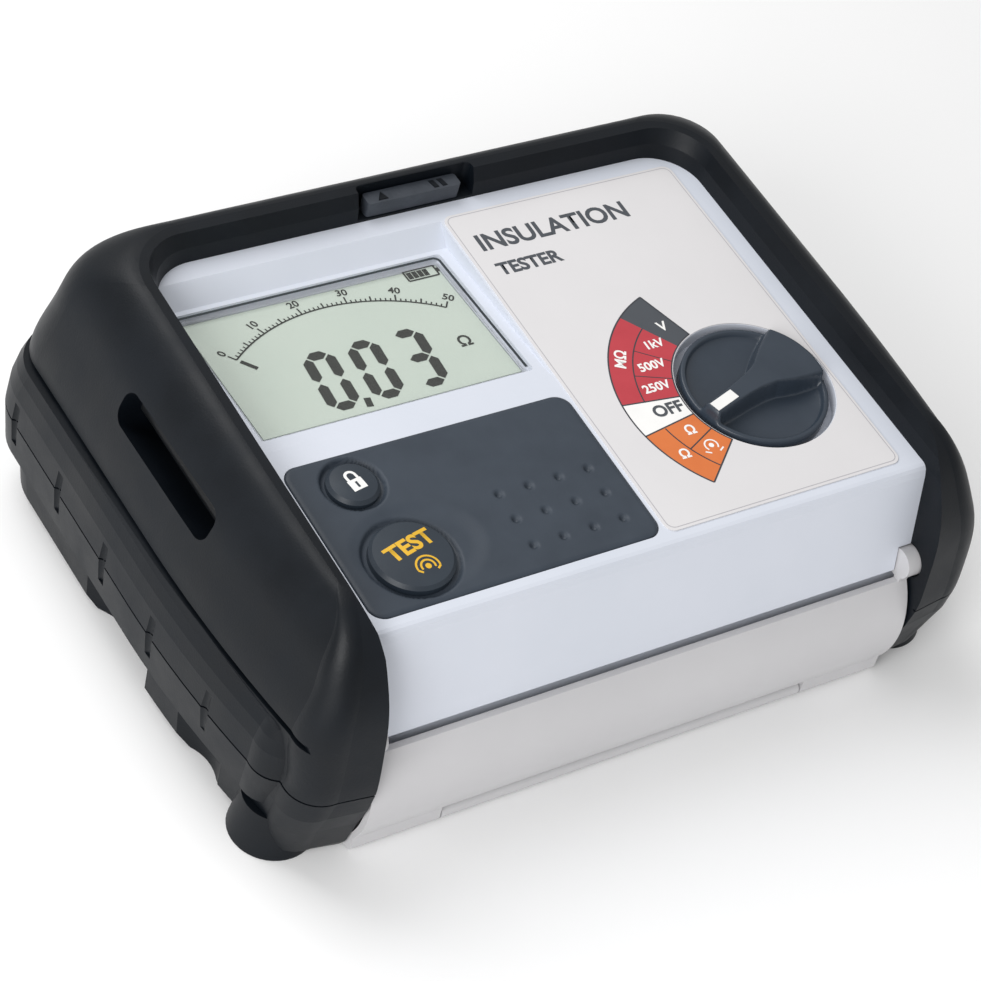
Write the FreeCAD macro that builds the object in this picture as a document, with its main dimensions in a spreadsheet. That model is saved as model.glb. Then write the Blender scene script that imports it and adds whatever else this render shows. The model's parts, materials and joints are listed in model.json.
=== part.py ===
"""Insulation resistance tester, millimetres.

The origin is at the middle of the footprint, +X to the right of the person who reads the display,
+Y to the back and +Z up.  The control panel is a plane tipped up towards the back; "panel frame" below
means x across it, y from its front edge and z out of it.
"""
import FreeCAD, Part
import Sketcher
import math
import os

from FreeCAD import Placement, Rotation, Vector

doc = FreeCAD.newDocument("InsulationTester")

sizes = {
    # control panel
    "panel_half_width": 77.0,
    "panel_front": -61.6,
    "panel_height": 64.0,
    "panel_tilt": 3.0,
    "ridge_height": 7.66,
    # case and armour
    "seam_height": 26.5,
    "case_wall": 2.5,
    "case_bottom": 3.4,
    "armour_half_width": 99.5,
    "band_half_width": 103.5,
    # display
    "window_left": -72.8,
    "window_right": -1.3,
    "window_front": 60.6,
    "window_back": 103.6,
    "window_thickness": 1.5,
    "display_slope": 5.0,
    "recess_right": 2.6,
    "recess_front": 55.0,
    "recess_back": 110.8,
    # keypad
    "keypad_left": -74.4,
    "keypad_right": 2.1,
    "keypad_front": 4.5,
    "keypad_back": 50.0,
    "keypad_corner": 4.0,
    "keypad_thickness": 1.6,
    "keypad_sunk": 1.2,
    "lock_across": -60.1,
    "lock_along": 41.1,
    "lock_radius": 6.3,
    "test_across": -57.7,
    "test_along": 17.8,
    "test_radius": 10.0,
    "button_gap": 1.2,
    # selector
    "knob_across": 50.1,
    "knob_along": 37.5,
    "knob_radius": 18.6,
    "knob_top": 3.2,
    "knob_recess_radius": 20.4,
    "knob_recess_depth": 4.0,
    "shaft_radius": 3.0,
    "shaft_clearance": 0.08,
    # lid
    "lid_half_width": 76.3,
    "lid_axis_along": -67.0,
    "lid_axis_height": 37.5,
    "lid_pin_radius": 1.5,
    "lid_boss_radius": 4.0,
    "cover_axis_along": -68.6,
    "cover_axis_height": 2.45,
    "cover_knuckle_radius": 2.1,
    "cover_pin_radius": 1.0,
    "cover_thickness": 1.8,
    "cover_length": 126.0,
    "pin_clearance": 0.05,
    # strap bars
    "bar_across": 87.6,
    "bar_along": 4.0,
    "bar_height": 57.2,
    "bar_radius": 1.5,
    "bar_length": 48.0,
    # test sockets in the back
    "socket_across": 16.0,
    "socket_height": 51.0,
    "socket_radius": 6.0,
    "socket_well_radius": 4.5,
    "contact_radius": 2.9,
    "contact_bore": 2.0,
    "contact_length": 18.0,
    # batteries
    "cell_radius": 7.2,
    "cell_length": 50.0,
    "cell_pitch": 15.0,
    "cell_height": 14.6,
    # screws
    "screw_across": 70.0,
    "screw_front": -52.0,
    "screw_back": 48.0,
    "screw_radius": 1.5,
    "screw_head_radius": 3.0,
}

sheet = doc.addObject("Spreadsheet::Sheet", "Dims")
for row, (alias, value) in enumerate(sizes.items(), start=1):
    sheet.set("A%d" % row, alias)
    sheet.set("B%d" % row, str(value))
    sheet.setAlias("B%d" % row, alias)
doc.recompute()


def size(alias):
    return float(sheet.get(alias))


def ref(alias):
    return "Dims." + alias


panel_placement = Placement(Vector(0, size("panel_front"), size("panel_height")),
                            Rotation(Vector(1, 0, 0), size("panel_tilt")))
sub_parts = []


# ---------------------------------------------------------------- helpers

def new_body(name, placement=None):
    body = doc.addObject("PartDesign::Body", name)
    body.Label = name
    if placement:
        body.Placement = placement
    sub_parts.append(body)
    return body


def new_sketch(body, name, role="XY_Plane", offset=None):
    sketch = body.newObject("Sketcher::SketchObject", body.Name + "_" + name)
    plane = [f for f in body.Origin.OriginFeatures if f.Role == role][0]
    sketch.AttachmentSupport = [(plane, "")]
    sketch.MapMode = "FlatFace"
    if offset:
        sketch.AttachmentOffset = offset
    return sketch


def lift(height):
    return Placement(Vector(0, 0, height), Rotation())


def bind(sketch, constraint, alias):
    index = sketch.addConstraint(constraint)
    if alias:
        sketch.setExpression("Constraints[%d]" % index, alias)


def draw_circle(sketch, x, y, radius, centre_refs=None, radius_ref=None):
    """A circle whose centre and radius can follow cells of the sheet."""
    circle = sketch.addGeometry(Part.Circle(Vector(x, y, 0), Vector(0, 0, 1), radius))
    if centre_refs:
        bind(sketch, Sketcher.Constraint("DistanceX", -1, 1, circle, 3, x), centre_refs[0])
        bind(sketch, Sketcher.Constraint("DistanceY", -1, 1, circle, 3, y), centre_refs[1])
    if radius_ref:
        bind(sketch, Sketcher.Constraint("Radius", circle, radius), radius_ref)


def draw_loop(sketch, points):
    """A closed loop.  A point is (x, y), or (x, y, through_x, through_y) when an arc ends there."""
    for start, end in zip(points, points[1:] + points[:1]):
        a = Vector(start[0], start[1], 0)
        b = Vector(end[0], end[1], 0)
        if len(end) == 4:
            sketch.addGeometry(Part.Arc(a, Vector(end[2], end[3], 0), b))
        else:
            sketch.addGeometry(Part.LineSegment(a, b))


def draw_box(sketch, x0, y0, x1, y1, corner=0.0):
    """A rectangle, with round corners if a radius is given."""
    if corner <= 0:
        draw_loop(sketch, [(x0, y0), (x1, y0), (x1, y1), (x0, y1)])
        return
    cut = corner * (1 - math.sqrt(0.5))
    draw_loop(sketch, [
        (x0, y0 + corner), (x0 + corner, y0, x0 + cut, y0 + cut),
        (x1 - corner, y0), (x1, y0 + corner, x1 - cut, y0 + cut),
        (x1, y1 - corner), (x1 - corner, y1, x1 - cut, y1 - cut),
        (x0 + corner, y1), (x0, y1 - corner, x0 + cut, y1 - cut)])


def cap_arc(edge, edge_height, middle_height):
    """A spherical cap's profile from its edge to its middle, as the last point of a loop."""
    rise = middle_height - edge_height
    ball = (edge ** 2 + rise ** 2) / (2 * abs(rise))
    drop = ball - math.sqrt(ball ** 2 - edge ** 2 / 4)
    return (0, middle_height, edge / 2, middle_height - math.copysign(drop, rise))


def pad(body, sketch, length, length_ref=None, both_ways=False, down=False):
    feature = body.newObject("PartDesign::Pad", sketch.Name + "_pad")
    feature.Profile = sketch
    feature.Length = length
    feature.Midplane = both_ways
    feature.Reversed = down
    if length_ref:
        feature.setExpression("Length", length_ref)
    sketch.Visibility = False
    return feature


def pocket(body, sketch, length, length_ref=None, both_ways=False, up=False):
    """Cuts downwards from the sketch, or upwards if asked, and checks that it took material away."""
    doc.recompute()
    before = body.Shape.Volume
    feature = body.newObject("PartDesign::Pocket", sketch.Name + "_pocket")
    feature.Profile = sketch
    feature.Length = length
    feature.Midplane = both_ways
    feature.Reversed = up
    if length_ref:
        feature.setExpression("Length", length_ref)
    doc.recompute()
    if not body.Shape.Volume < before - 1e-6:
        raise RuntimeError(sketch.Name + " cut nothing")
    return feature


def loft(body, sketches, ruled, subtract=False):
    kind = "PartDesign::SubtractiveLoft" if subtract else "PartDesign::AdditiveLoft"
    feature = body.newObject(kind, sketches[0].Name + "_loft")
    feature.Profile = sketches[0]
    feature.Sections = sketches[1:]
    feature.Ruled = ruled
    return feature


# ---------------------------------------------------------------- outlines

def level(height, tilt):
    """A plane through the line above the panel's front edge at this height, tipped by this angle."""
    return Placement(Vector(0, size("panel_front"), height), Rotation(Vector(1, 0, 0), tilt))


def boot_outline(half, back, front, corner, taper, nose_corner):
    """Plan of the armour at one level, in distances from the panel's front edge."""
    inner = size("panel_half_width")
    straight = 56.0
    nose = half - taper
    nose_back = front + nose_corner + 2.0
    nose_side = nose - nose_corner
    arc = corner * (1 - math.sqrt(0.5))
    bend = nose_corner * 0.27
    right = [(inner, front),
             (nose_side, front + 1.2),
             (nose, nose_back, nose - bend, front + 1.2 + bend),
             (half, straight, half - taper * 0.29, (nose_back + straight) / 2 - 1.0),
             (half, back - corner),
             (half - corner, back, half - arc, back - arc)]
    left = []
    for here, after in zip(right[::-1], [None] + right[::-1][:-1]):
        if after and len(after) == 4:
            left.append((-here[0], here[1], -after[2], after[3]))
        else:
            left.append((-here[0], here[1]))
    return right + left


def case_outline(half, back, front, inset=0.0):
    """Plan of the case: as wide as the panel between the noses, wider under the armour's cheeks."""
    inner = size("panel_half_width") - inset
    side = half - inset
    rear = back - inset
    corner = 13.0 - inset
    arc = corner * (1 - math.sqrt(0.5))
    right = [(inner, front + inset), (inner, 12.0 + inset), (side, 34.0 + inset), (side, rear - corner),
             (side - corner, rear, side - arc, rear - arc)]
    left = [(-side + corner, rear), (-side, rear - corner, -side + arc, rear - arc),
            (-side, 34.0 + inset), (-inner, 12.0 + inset), (-inner, front + inset)]
    return right + left


def case_levels():
    """Height, tilt and plan of the case from its floor up to the panel."""
    top = size("panel_height")
    tilt = size("panel_tilt")
    return [(size("case_bottom"), 0.0, (88.0, 126.0, -5.6)),
            (9.0, 0.0, (91.5, 129.0, -5.6)),
            (33.0, 0.0, (91.5, 129.0, -5.6)),
            (top - 2.6, tilt, (78.5, 118.2, 0.2)),
            (top - 1.0, tilt, (77.6, 117.1, 0.8)),
            (top - 0.3, tilt, (77.2, 116.5, 1.4)),
            (top, tilt, (77.0, 116.3, 2.2))]


def draw_levels(body, name, levels, outline, **extra):
    sketches = []
    for number, (height, tilt, plan) in enumerate(levels):
        sketch = new_sketch(body, "%s%d" % (name, number), offset=level(height, tilt))
        draw_loop(sketch, outline(*plan, **extra))
        sketches.append(sketch)
    return sketches


# ---------------------------------------------------------------- armour

def cut_case_room(body):
    """The room in the armour that the case fills."""
    loft(body, draw_levels(body, "room", case_levels(), case_outline), True, subtract=True)


def cut_lid_bay(body):
    """The front between the two noses stays open for the case's front face and the lid."""
    sketch = new_sketch(body, "bay", offset=lift(-5))
    inner = size("panel_half_width")
    front = size("panel_front")
    draw_box(sketch, -inner, front - 20, inner, front + 12.0)
    pocket(body, sketch, 100, up=True)


def draw_ring(body, name, height, depth, plan, reach=3.0):
    """The ring of a groove all round the outside, this deep in the plan."""
    half, back, front, corner, taper, nose_corner = plan
    sketch = new_sketch(body, name, offset=level(height, 0.0))
    draw_loop(sketch, boot_outline(half - depth, back - depth, front + depth, corner, taper, nose_corner))
    draw_loop(sketch, boot_outline(half + reach, back + reach, front - reach, corner, taper, nose_corner))
    return sketch


def cut_grip_notches(body, low, high):
    """Upright grooves across the grip band, one pitch apart."""
    sketch = new_sketch(body, "notches", offset=lift(low))
    pitch = 24.2
    for number in range(6):
        along = 57.3 - pitch * number
        side = size("band_half_width") + 0.5 - max(0.0, -5.6 - along) ** 2 / 620.0
        draw_circle(sketch, side, along, 1.6)
        draw_circle(sketch, -side, along, 1.6)
    pocket(body, sketch, high - low, up=True)


def cut_hinge_room(body):
    """Round holes in the noses for the lid's bosses, and the holes for their pins."""
    axis = Vector(0, size("lid_axis_along"), size("lid_axis_height"))
    inner = size("panel_half_width")
    depth = 7.4
    room = size("lid_boss_radius") + 0.5
    for side in (-1, 1):
        face = Placement(Vector(0, 0, side * (inner + depth)), Rotation())
        sketch = new_sketch(body, "boss_room%d" % (side + 1), "YZ_Plane", face)
        y, z = axis.y, axis.z
        draw_circle(sketch, y, z, room)
        pocket(body, sketch, depth + 2, up=side < 0)
        sketch = new_sketch(body, "pin_hole%d" % (side + 1), "YZ_Plane",
                            Placement(Vector(0, 0, side * (inner + 11.0)), Rotation()))
        draw_circle(sketch, y, z, size("lid_pin_radius"), radius_ref=ref("lid_pin_radius"))
        pocket(body, sketch, 12, up=side < 0)


def make_upper_armour():
    body = new_body("upper_armour")
    seam = size("seam_height")
    top = size("panel_height")
    tilt = size("panel_tilt")
    half = size("armour_half_width")
    ridge = size("ridge_height")
    shoulder = [(seam, 0.0, (half, 134.5, -13.4, 15, 4.5, 9.0)),
                (36.0, 0.6, (half - 0.2, 134.3, -13.2, 15, 4.5, 9.0)),
                (44.0, 1.2, (98.9, 133.8, -12.4, 14, 4.4, 9.0)),
                (50.0, 1.6, (97.2, 132.6, -11.4, 14, 4.3, 8.0)),
                (56.0, 2.2, (94.8, 131.2, -9.4, 13, 4.2, 7.0)),
                (top, tilt, (90.6, 129.0, -5.0, 13, 3.2, 5.4)),
                (top + 5.0, tilt, (86.4, 125.6, 0.0, 15, 2.0, 3.6)),
                (top + 6.9, tilt, (84.0, 123.4, 4.0, 16, 1.2, 3.0)),
                (top + ridge, tilt, (81.6, 121.2, 8.0, 16, 0.7, 2.4))]
    loft(body, draw_levels(body, "shoulder", shoulder, boot_outline), False)
    band = size("band_half_width")
    widest = (band, 136.67, -4.0, 16, 4.5, 8.0)
    rail = [(seam, 0.0, widest),
            (34.0, 0.0, (band - 0.5, 136.3, -3.8, 16, 4.5, 8.0)),
            (38.0, 0.4, (band - 1.4, 135.5, -3.0, 16, 4.5, 7.0)),
            (40.6, 0.8, (band - 2.5, 134.6, -2.0, 16, 4.5, 6.0)),
            (41.8, 0.8, (band - 4.4, 133.2, -1.0, 15, 4.5, 6.0))]
    loft(body, draw_levels(body, "rail", rail, boot_outline), True)
    cut_case_room(body)
    cut_panel_well(body)
    cut_lid_bay(body)
    cut_grip_notches(body, seam - 1, 32.6)
    channel = draw_ring(body, "channel", 42.0, 1.3, (half - 0.6, 134.0, -17.0, 14, 4.4, 9.0), 8.0)
    pocket(body, channel, 1.5, up=True)
    pocket(body, draw_ring(body, "seam_band", seam, 0.9, widest), 0.5, up=True)
    pocket(body, draw_ring(body, "seam_nose", seam, 0.8, shoulder[0][2]), 0.5, up=True)
    cut_hinge_room(body)
    cut_strap_slots(body)
    cut_catch_notch(body)
    cut_socket_window(body)
    return body


def cut_panel_well(body):
    """The well above the panel, upright at its foot and flared at the rim."""
    top = size("panel_height")
    tilt = size("panel_tilt")
    ridge = size("ridge_height")
    levels = [(top - 0.2, tilt, (77.0, 116.3, -20.0)),
              (top + 4.0, tilt, (77.6, 116.9, -20.0)),
              (top + ridge + 0.4, tilt, (79.4, 118.6, -20.0))]

    def outline(half, back, front):
        corner = 13.0
        arc = corner * (1 - math.sqrt(0.5))
        return [(half, front), (half, back - corner), (half - corner, back, half - arc, back - arc),
                (-half + corner, back), (-half, back - corner, -half + arc, back - arc), (-half, front)]
    loft(body, draw_levels(body, "well", levels, outline), True, subtract=True)


def cut_strap_slots(body):
    """A long slot in each shoulder for the neck strap, and the hole that holds its bar."""
    for side in (-1, 1):
        place = Placement(Vector(side * 95.0, 4.0, 61.0), Rotation(Vector(0, 1, 0), side * 62.0))
        sketch = new_sketch(body, "slot%d" % (side + 1), offset=place)
        draw_box(sketch, -4.6, -21.5, 4.6, 21.5, 3.5)
        pocket(body, sketch, 12.6)
    bars = new_sketch(body, "bar_holes", "XZ_Plane", lift(-size("bar_along")))
    for side in (-1, 1):
        draw_circle(bars, side * size("bar_across"), size("bar_height"), size("bar_radius"))
    pocket(body, bars, size("bar_length"), both_ways=True)


def cut_catch_notch(body):
    """The break in the rear ridge where the lid's catch sits."""
    sketch = new_sketch(body, "catch", offset=level(size("panel_height") + 0.6, size("panel_tilt")))
    draw_box(sketch, -18.0, 112.0, 15.0, 121.2, 1.5)
    pocket(body, sketch, 12.0, up=True)


def cut_socket_window(body):
    """The opening in the back of the armour through which the test sockets are reached."""
    sketch = new_sketch(body, "sockets", "XZ_Plane", lift(-90.0))
    draw_box(sketch, -30.0, size("socket_height") - 8.0, 30.0, size("socket_height") + 8.5, 5.0)
    pocket(body, sketch, 45.0, up=True)


def make_lower_armour():
    body = new_body("lower_armour")
    seam = size("seam_height")
    half = size("armour_half_width")
    skirt = [(0.0, 0.0, (97.4, 131.0, -5.6, 18, 5.6, 8.0)),
             (3.2, 0.0, (99.6, 133.2, -7.4, 18, 5.6, 8.0)),
             (13.0, 0.0, (100.0, 134.2, -10.0, 17, 5.0, 8.0)),
             (20.0, 0.0, (99.8, 134.4, -12.2, 16, 4.6, 8.4)),
             (seam, 0.0, (half, 134.5, -13.4, 15, 4.5, 9.0))]
    loft(body, draw_levels(body, "skirt", skirt, boot_outline), True)
    band = size("band_half_width")
    rail = [(12.6, 0.0, (band - 3.0, 134.6, 2.0, 16, 4.6, 6.0)),
            (15.6, 0.0, (band - 0.8, 136.2, -1.0, 16, 4.5, 7.0)),
            (seam, 0.0, (band, 136.67, -4.0, 16, 4.5, 8.0))]
    loft(body, draw_levels(body, "rail", rail, boot_outline), True)
    foot = new_sketch(body, "foot")
    for side in (-1, 1):
        draw_circle(foot, side * 89.0, -56.4, 10.4)
    pad(body, foot, 12.0).TaperAngle = -9.0
    cut_case_room(body)
    cut_lid_bay(body)
    cut_grip_notches(body, 20.0, seam + 1)
    under = new_sketch(body, "under", offset=lift(-1))
    draw_box(under, -77.2, -60.0, 77.2, 80.0)
    pocket(body, under, 1 + size("case_bottom"), up=True)
    scallop = new_sketch(body, "scallop", offset=lift(-1))
    for side in (-1, 1):
        draw_circle(scallop, side * 115.0, 4.0, 22.0)
        draw_circle(scallop, side * 106.0, -36.0, 12.0)
    pocket(body, scallop, 12.5, up=True)
    return body


# ---------------------------------------------------------------- case

def panel_lift(height):
    """A plane at this height above the panel."""
    return panel_placement.multiply(lift(height))


def side_plane(across):
    """For a sketch drawn on YZ: the panel frame's y and z axes, at this distance across."""
    return Placement(Vector(size("panel_front"), size("panel_height"), across),
                     Rotation(Vector(0, 0, 1), size("panel_tilt")))


def display_placement():
    """The sloped plane of the display window, in the panel frame."""
    return Placement(Vector(0, size("recess_front") + 1.0, 0), Rotation(Vector(1, 0, 0), -size("display_slope")))


def hollow_case(body):
    """The room inside the case, one wall thickness in."""
    top = size("panel_height")
    tilt = size("panel_tilt")
    floor = size("case_bottom") + size("case_wall")
    levels = [(floor, 0.0, (89.5, 127.5, -2.8)),
              (9.0, 0.0, (91.5, 129.0, -2.8)),
              (33.0, 0.0, (91.5, 129.0, -2.8)),
              (top - 5.0, tilt, (79.3, 119.0, 1.0)),
              (top - size("case_wall"), tilt, (78.3, 118.0, 1.6))]
    loft(body, draw_levels(body, "inside", levels, case_outline, inset=size("case_wall")), True,
         subtract=True)


def cut_front_step(body):
    """The lower part of the front stands back, where the lid's front strip is stowed."""
    sketch = new_sketch(body, "step", offset=lift(-1))
    draw_box(sketch, -78, -90, 78, size("panel_front") - 3.6)
    pocket(body, sketch, 1 + 35.0, up=True)


def cut_boss_clearance(body):
    """Hollows at the ends of the front face that the lid's bosses turn in."""
    inner = size("panel_half_width")
    for side in (-1, 1):
        place = Placement(Vector(0, 0, side * (inner - 3.8)), Rotation())
        sketch = new_sketch(body, "boss_clear%d" % (side + 1), "YZ_Plane", place)
        draw_circle(sketch, size("lid_axis_along"), size("lid_axis_height"), size("lid_boss_radius") + 0.5)
        pocket(body, sketch, 12, up=side > 0)


def screw_places():
    return [(side * size("screw_across"), along)
            for side in (-1, 1) for along in (size("screw_front"), size("screw_back"))]


def make_upper_case():
    body = new_body("upper_case")
    loft(body, draw_levels(body, "outer", case_levels(), case_outline), True)
    hollow_case(body)
    block = new_sketch(body, "display_block", offset=panel_lift(-9.0))
    draw_box(block, -76.0, 53.0, 6.0, 113.0)
    pad(body, block, 8.0)
    thick = new_sketch(body, "knob_floor", offset=panel_lift(-7.0))
    draw_circle(thick, size("knob_across"), size("knob_along"), size("knob_recess_radius") + 2.4)
    pad(body, thick, 5.5)
    for name, along, tall in (("front_bosses", size("screw_front"), 36.5), ("rear_bosses", size("screw_back"), 42.0)):
        bosses = new_sketch(body, name, offset=lift(size("seam_height")))
        for side in (-1, 1):
            draw_circle(bosses, side * size("screw_across"), along, 3.6)
        pad(body, bosses, tall)
    below = new_sketch(body, "seam", offset=lift(size("seam_height")))
    draw_box(below, -120, -100, 120, 100)
    pocket(body, below, 40.0)
    cut_front_step(body)
    cut_boss_clearance(body)
    wedge = new_sketch(body, "wedge", "YZ_Plane", side_plane(size("recess_right")))
    start = size("recess_front") + 1.0
    deep = (size("window_back") + 2.2 - start) * math.tan(math.radians(size("display_slope")))
    draw_loop(wedge, [(start, 0.6), (start, 0.0), (size("window_back") + 2.2, -deep),
                      (size("recess_back"), 0.0), (size("recess_back"), 0.6)])
    pocket(body, wedge, 90.0)
    rebate = new_sketch(body, "rebate", offset=panel_placement.multiply(display_placement()))
    shift = size("recess_front") + 1.0
    draw_box(rebate, size("window_left") - 1.0, size("window_front") - shift - 1.0,
             size("window_right") + 1.0, size("window_back") - shift + 1.0, 1.2)
    pocket(body, rebate, size("window_thickness"), ref("window_thickness"))
    hole = new_sketch(body, "window", offset=panel_placement.multiply(display_placement()))
    draw_box(hole, size("window_left") + 0.6, size("window_front") - shift + 0.6,
             size("window_right") - 0.6, size("window_back") - shift - 0.6)
    pocket(body, hole, 14.0)
    keypad = new_sketch(body, "keypad", offset=panel_lift(0))
    draw_box(keypad, size("keypad_left") - 0.15, size("keypad_front") - 0.15, size("keypad_right") + 0.15,
             size("keypad_back") + 0.15, size("keypad_corner"))
    pocket(body, keypad, size("keypad_sunk"), ref("keypad_sunk"))
    buttons = new_sketch(body, "buttons", offset=panel_lift(0))
    draw_circle(buttons, size("lock_across"), size("lock_along"), size("lock_radius") + 0.5)
    draw_circle(buttons, size("test_across"), size("test_along"), size("test_radius") + 0.5)
    pocket(body, buttons, 6.0)
    knob = new_sketch(body, "knob", offset=panel_lift(0))
    draw_circle(knob, size("knob_across"), size("knob_along"), size("knob_recess_radius"))
    pocket(body, knob, size("knob_recess_depth"), ref("knob_recess_depth"))
    shaft = new_sketch(body, "shaft", offset=panel_lift(0))
    draw_circle(shaft, size("knob_across"), size("knob_along"), size("shaft_radius") + size("shaft_clearance"))
    pocket(body, shaft, 8.0)
    threads = new_sketch(body, "threads", offset=lift(size("seam_height") - 1))
    for x, y in screw_places():
        draw_circle(threads, x, y, size("screw_radius") + size("pin_clearance"))
    pocket(body, threads, 14.0, up=True)
    sockets = new_sketch(body, "sockets", "XZ_Plane", lift(-90.0))
    for side in (-1, 1):
        draw_circle(sockets, side * size("socket_across"), size("socket_height"), size("socket_radius"))
    pocket(body, sockets, 45.0, up=True)
    return body


def make_lower_case():
    body = new_body("lower_case")
    loft(body, draw_levels(body, "outer", case_levels(), case_outline), True)
    hollow_case(body)
    bosses = new_sketch(body, "bosses", offset=lift(4.0))
    for x, y in screw_places():
        draw_circle(bosses, x, y, 4.6)
    pad(body, bosses, 30.0)
    above = new_sketch(body, "seam", offset=lift(size("seam_height")))
    draw_box(above, -120, -100, 120, 100)
    pocket(body, above, 60.0, up=True)
    cut_front_step(body)
    hatch = new_sketch(body, "hatch", offset=lift(0))
    draw_box(hatch, -48.0, -36.0, 48.0, 28.0, 3.0)
    pocket(body, hatch, 12.0, up=True)
    holes = new_sketch(body, "screw_holes", offset=lift(0))
    for x, y in screw_places():
        draw_circle(holes, x, y, size("screw_radius") + size("pin_clearance"))
    pocket(body, holes, 30.0, up=True)
    heads = new_sketch(body, "screw_heads", offset=lift(0))
    for x, y in screw_places():
        draw_circle(heads, x, y, size("screw_head_radius") + 0.15)
    pocket(body, heads, size("case_bottom") + 2.4, up=True)
    groove = new_sketch(body, "groove", offset=level(size("seam_height"), 0.0))
    draw_gasket(groove)
    pocket(body, groove, 1.0)
    return body


def draw_gasket(sketch):
    draw_loop(sketch, case_outline(91.5, 129.0, -2.4, inset=0.8))
    draw_loop(sketch, case_outline(91.5, 129.0, -2.2, inset=1.7))


def make_case_gasket():
    body = new_body("case_gasket")
    sketch = new_sketch(body, "ring", offset=level(size("seam_height") - 1.0, 0.0))
    draw_gasket(sketch)
    pad(body, sketch, 1.0)


# ---------------------------------------------------------------- display

def make_display():
    """The window, the display glass and its light guide, all in the sloped plane."""
    place = panel_placement.multiply(display_placement())
    shift = size("recess_front") + 1.0
    left, right = size("window_left"), size("window_right")
    front, back = size("window_front") - shift, size("window_back") - shift
    for name, grow, corner, low, high in (("display_window", 0.95, 1.2, -size("window_thickness"), 0.0),
                                          ("display_glass", -1.0, 0.0, -4.0, -1.7),
                                          ("display_light_guide", -1.4, 0.0, -6.4, -4.1)):
        body = new_body(name, place)
        sketch = new_sketch(body, "plate", offset=lift(low))
        draw_box(sketch, left - grow, front - grow, right + grow, back + grow, corner)
        pad(body, sketch, high - low)


# ---------------------------------------------------------------- keypad

def make_keypad_mat():
    body = new_body("keypad_mat", panel_placement)
    sunk = size("keypad_sunk")
    mat = new_sketch(body, "mat", offset=lift(-sunk))
    draw_box(mat, size("keypad_left"), size("keypad_front"), size("keypad_right"), size("keypad_back"),
             size("keypad_corner"))
    pad(body, mat, size("keypad_thickness"), ref("keypad_thickness"))
    gap = size("button_gap")
    holes = new_sketch(body, "holes", offset=lift(5.0))
    draw_circle(holes, size("lock_across"), size("lock_along"), size("lock_radius") + gap)
    draw_circle(holes, size("test_across"), size("test_along"), size("test_radius") + gap)
    pocket(body, holes, 10.0)
    dish = new_sketch(body, "dish", offset=lift(size("keypad_thickness") - sunk))
    draw_circle(dish, size("test_across"), size("test_along"), size("test_radius") + 3.2)
    pocket(body, dish, 0.35)


def make_button(name, across, along, radius, crown):
    """A push button with a crowned top, a flange under the case's top wall and a stem to its switch."""
    place = panel_placement.multiply(Placement(Vector(across, along, 0), Rotation()))
    body = new_body(name, place)
    sketch = new_sketch(body, "profile", "XZ_Plane")
    draw_loop(sketch, [(0, -5.3), (1.8, -5.3), (1.8, -4.1), (radius + 0.9, -4.1), (radius + 0.9, -3.1),
                       (radius, -3.1), (radius, crown - 0.8), (radius - 0.8, crown),
                       cap_arc(radius - 0.8, crown, crown + 0.5)])
    turn = body.newObject("PartDesign::Revolution", name + "_turn")
    turn.Profile = sketch
    turn.ReferenceAxis = (sketch, ["V_Axis"])
    turn.Angle = 360.0


def make_switches():
    """The keypad's board, and the two push switches that stand on it."""
    board = doc.addObject("Part::Box", "keypad_board")
    board.Label = "keypad_board"
    board.Length, board.Width, board.Height = 62.0, 40.0, 1.6
    board.Placement = panel_placement.multiply(Placement(Vector(-65.0, 8.5, -11.2), Rotation()))
    sub_parts.append(board)
    add_group("button_switches", [
        add_box("lock_switch", (6, 6, 2.4), (size("lock_across") - 3, size("lock_along") - 3, -9.6)),
        add_box("test_switch", (6, 6, 2.4), (size("test_across") - 3, size("test_along") - 3, -9.6))])


# ---------------------------------------------------------------- primitives

def add_box(name, dims, corner, placement=None):
    """A box with its low corner here, in the panel frame unless another frame is given."""
    box = doc.addObject("Part::Box", name)
    box.Length, box.Width, box.Height = dims
    frame = panel_placement if placement is None else placement
    box.Placement = frame.multiply(Placement(Vector(*corner), Rotation()))
    return box


def add_cylinder(name, radius, length, foot, direction=(0, 0, 1), placement=None, radius_ref=None):
    """A cylinder from its foot along a direction, in the panel frame unless another frame is given."""
    cylinder = doc.addObject("Part::Cylinder", name)
    cylinder.Radius = radius
    cylinder.Height = length
    if radius_ref:
        cylinder.setExpression("Radius", radius_ref)
    frame = panel_placement if placement is None else placement
    turned = Rotation(Vector(0, 0, 1), Vector(*direction))
    cylinder.Placement = frame.multiply(Placement(Vector(*foot), turned))
    return cylinder


def add_group(name, pieces):
    """Separate solids that share one node."""
    group = doc.addObject("Part::Compound", name)
    group.Label = name
    group.Links = pieces
    sub_parts.append(group)


def add_fused(name, pieces):
    fused = doc.addObject("Part::MultiFuse", name)
    fused.Label = name
    fused.Shapes = pieces
    return fused


def add_cut(name, base, tool):
    cut = doc.addObject("Part::Cut", name)
    cut.Label = name
    cut.Base = base
    cut.Tool = tool
    return cut


BASE = Placement()


# ---------------------------------------------------------------- selector

def knob_placement():
    """The knob's own frame, with its pointer along -X turned to the resistance position."""
    return panel_placement.multiply(Placement(Vector(size("knob_across"), size("knob_along"), 0),
                                              Rotation(Vector(0, 0, 1), 17.5)))


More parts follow.
